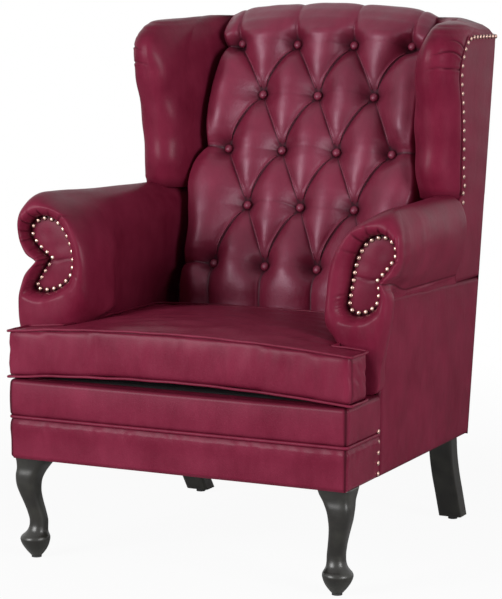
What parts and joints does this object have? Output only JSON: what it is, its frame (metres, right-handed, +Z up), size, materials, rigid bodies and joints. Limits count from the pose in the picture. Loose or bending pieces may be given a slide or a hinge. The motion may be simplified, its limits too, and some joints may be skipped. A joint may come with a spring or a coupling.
{
  "type": "wing armchair",
  "caption": "Buttoned wing armchair with scroll arms, a loose T-shaped seat cushion, nailed trim, cabriole front legs and raked rear legs.",
  "frame": {"origin": "middle of the chair's bounding box at floor level", "axes": "+Z up, the chair faces -Y, +X to the right of someone who stands in front of it"},
  "size_m": [0.9002, 0.8224, 1.137],
  "materials": {
    "leather": "aged burgundy leather, semi-gloss, fine grain with lighter worn crests",
    "leg_wood": "dark stained wood, satin, rubbed at the edges",
    "hidden_frame_wood": "bare sawn hardwood, matt",
    "nail_brass": "aged domed nail heads, dark patina in the ring",
    "spring_steel": "oiled spring steel",
    "webbing": "woven jute, matt",
    "black_cloth": "thin black lining cloth, matt",
    "glide_plastic": "dark moulded glide"
  },
  "bodies": {
    "chair": {"right_front_leg": "leg_wood", "left_front_leg": "leg_wood", "right_rear_leg": "leg_wood", "left_rear_leg": "leg_wood", "leg_glides": "glide_plastic", "leg_bolts": "spring_steel", "front_seat_rail": "hidden_frame_wood", "rear_seat_rail": "hidden_frame_wood", "right_seat_rail": "hidden_frame_wood", "left_seat_rail": "hidden_frame_wood", "corner_blocks": "hidden_frame_wood", "right_back_post": "hidden_frame_wood", "left_back_post": "hidden_frame_wood", "crest_rail": "hidden_frame_wood", "lower_back_rail": "hidden_frame_wood", "right_arm_post": "hidden_frame_wood", "left_arm_post": "hidden_frame_wood", "right_arm_rail": "hidden_frame_wood", "left_arm_rail": "hidden_frame_wood", "right_arm_tack_rail": "hidden_frame_wood", "left_arm_tack_rail": "hidden_frame_wood", "right_wing_frame": "hidden_frame_wood", "left_wing_frame": "hidden_frame_wood", "right_arm_facing": "leather", "left_arm_facing": "leather", "seat_springs": "spring_steel", "spring_clips": "spring_steel", "back_webbing": "webbing", "dust_cover": "black_cloth", "seat_deck": "black_cloth", "upper_seat_border": "leather", "lower_seat_border": "leather", "border_piping": "leather", "right_border_nails": "nail_brass", "left_border_nails": "nail_brass", "right_outside_arm": "leather", "left_outside_arm": "leather", "right_outside_wing": "leather", "left_outside_wing": "leather", "outside_back": "leather", "right_arm_pad": "leather", "left_arm_pad": "leather", "right_wing_pad": "leather", "left_wing_pad": "leather", "right_facing_nails": "nail_brass", "left_facing_nails": "nail_brass", "right_wing_nails": "nail_brass", "left_wing_nails": "nail_brass", "back_pad": "leather", "back_buttons": "leather"},
    "seat_cushion": {"seat_cushion": "leather"}
  },
  "joints": [
    {"name": "cushion_slide", "type": "slide", "parent": "chair", "child": "seat_cushion", "axis": [0, -1, 0], "range_m": [0, 0.54]}
  ]
}
